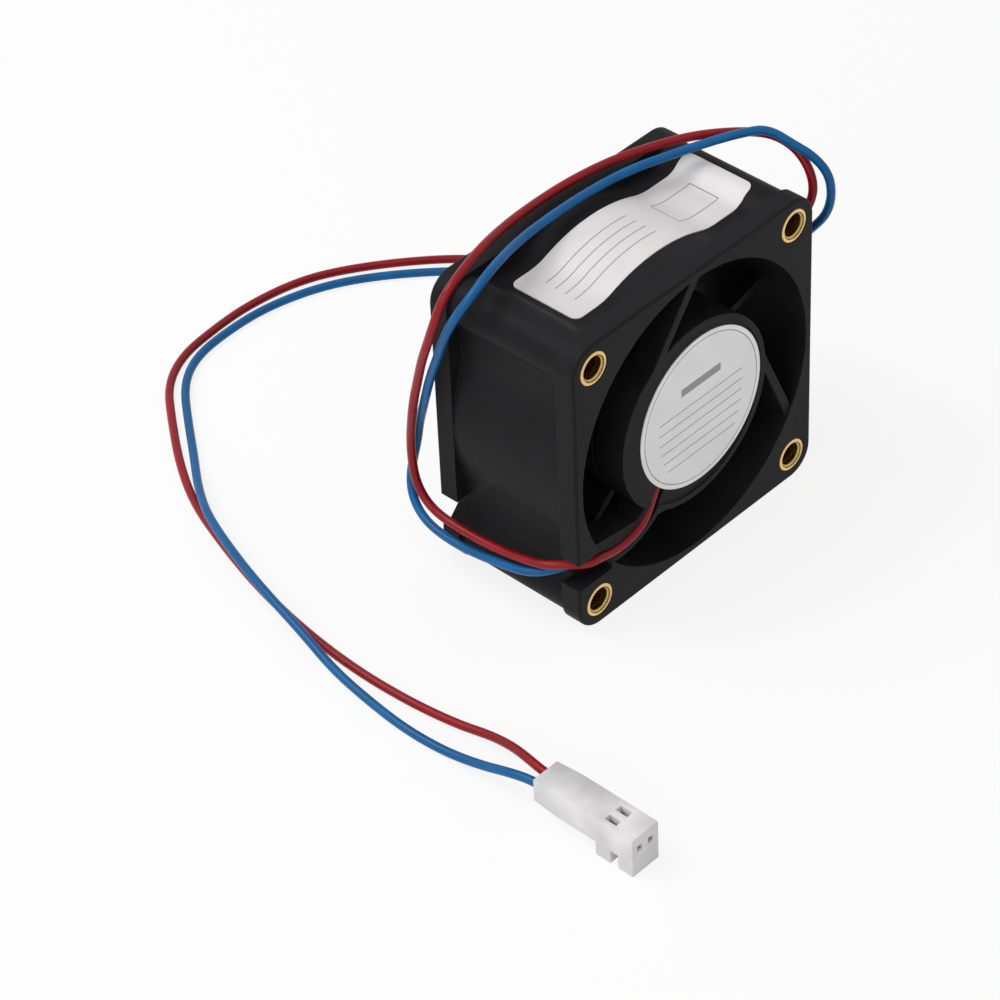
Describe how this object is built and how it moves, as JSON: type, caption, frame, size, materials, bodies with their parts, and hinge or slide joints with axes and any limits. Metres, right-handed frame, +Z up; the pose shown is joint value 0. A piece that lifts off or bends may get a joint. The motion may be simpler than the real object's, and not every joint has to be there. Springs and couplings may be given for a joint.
{
  "type": "axial cooling fan",
  "caption": "Square deep axial fan: bladed rotor on a central motor inside a flanged housing with corner mounting bushes, slanting struts and a pair of leads to a small connector.",
  "frame": {"origin": "under the middle of the housing, on the surface it stands on", "axes": "+X to the right seen from the label side, +Y along the fan axis from the label (outlet) side to the rotor (inlet) side, +Z up"},
  "size_m": [0.107, 0.1522, 0.0649],
  "materials": {
    "housing_plastic": "satin moulded",
    "impeller_plastic": "satin moulded",
    "bush_brass": "turned",
    "hub_label_foil": "satin silver label",
    "side_label_paper": "matte white label",
    "bearing_steel": "polished",
    "turned_steel": "turned",
    "tube_brass": "turned",
    "magnet_ferrite": "bonded ferrite",
    "stator_steel": "stacked sheets",
    "insulator_nylon": "moulded",
    "winding_copper": "enamelled wire",
    "board_laminate": "solder mask",
    "chip_epoxy": "moulded",
    "red_insulation": "soft insulation",
    "blue_insulation": "soft insulation",
    "connector_nylon": "natural moulded",
    "contact_tin": "tinned"
  },
  "bodies": {
    "frame": {"housing": "housing_plastic", "mounting_bush_top_left": "bush_brass", "mounting_bush_top_right": "bush_brass", "mounting_bush_bottom_left": "bush_brass", "mounting_bush_bottom_right": "bush_brass", "hub_label": "hub_label_foil", "side_label": "side_label_paper", "bearing_tube": "tube_brass", "front_bearing_outer_race": "bearing_steel", "rear_bearing_outer_race": "bearing_steel", "stator_core": "stator_steel", "stator_insulator_front": "insulator_nylon", "stator_insulator_rear": "insulator_nylon", "coil_1": "winding_copper", "coil_2": "winding_copper", "coil_3": "winding_copper", "coil_4": "winding_copper", "circuit_board": "board_laminate", "driver_chip": "chip_epoxy", "position_sensor": "chip_epoxy", "capacitor": "turned_steel", "resistors": "chip_epoxy", "red_lead_held": "red_insulation", "blue_lead_held": "blue_insulation", "red_lead": "red_insulation", "blue_lead": "blue_insulation", "connector_housing": "connector_nylon", "positive_contact": "contact_tin", "negative_contact": "contact_tin"},
    "rotor": {"impeller": "impeller_plastic", "rotor_cup": "turned_steel", "ring_magnet": "magnet_ferrite", "shaft": "turned_steel", "shaft_bush": "tube_brass", "front_bearing_inner_race": "bearing_steel", "rear_bearing_inner_race": "bearing_steel", "preload_spring": "turned_steel", "retaining_clip": "turned_steel", "thrust_washer": "insulator_nylon"},
    "front_ball_set": {"front_bearing_balls": "bearing_steel", "front_bearing_cage": "turned_steel"},
    "rear_ball_set": {"rear_bearing_balls": "bearing_steel", "rear_bearing_cage": "turned_steel"}
  },
  "joints": [
    {"name": "rotor_spin", "type": "hinge", "parent": "frame", "child": "rotor", "pos_m": [0, 0, 0.03], "axis": [0, 1, 0], "continuous": true},
    {"name": "front_balls_roll", "type": "hinge", "parent": "frame", "child": "front_ball_set", "pos_m": [0, -0.0095, 0.03], "axis": [0, 1, 0], "continuous": true},
    {"name": "rear_balls_roll", "type": "hinge", "parent": "frame", "child": "rear_ball_set", "pos_m": [0, 0.007, 0.03], "axis": [0, 1, 0], "continuous": true}
  ],
  "couplings": [
    {"joint": "front_balls_roll", "follows": "rotor_spin", "ratio": 0.35636},
    {"joint": "rear_balls_roll", "follows": "rotor_spin", "ratio": 0.35636}
  ]
}
